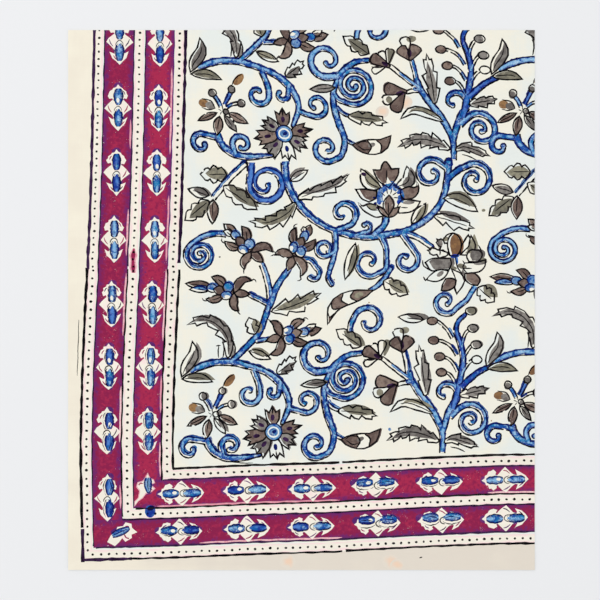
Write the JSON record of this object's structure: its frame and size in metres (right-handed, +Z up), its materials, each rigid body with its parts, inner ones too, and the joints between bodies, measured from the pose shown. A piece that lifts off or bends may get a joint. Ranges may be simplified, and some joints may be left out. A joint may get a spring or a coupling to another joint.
{
  "type": "kalamkari cloth",
  "caption": "Flat cut length of block-printed cotton cloth with a flowering vine field and a red ornamental border along its left and bottom sides.",
  "frame": {"origin": "middle of the cloth's underside, on the surface it rests on", "axes": "+Z up out of the printed face, +Y to the top of the print, +X to its right, away from the side border"},
  "size_m": [0.35, 0.405, 0.002],
  "materials": {
    "cloth": "plain-weave cotton, cream ground, printed in black, crimson, indigo blue and earth colours"
  },
  "bodies": {
    "root": {"cloth": "cloth"}
  },
  "joints": []
}
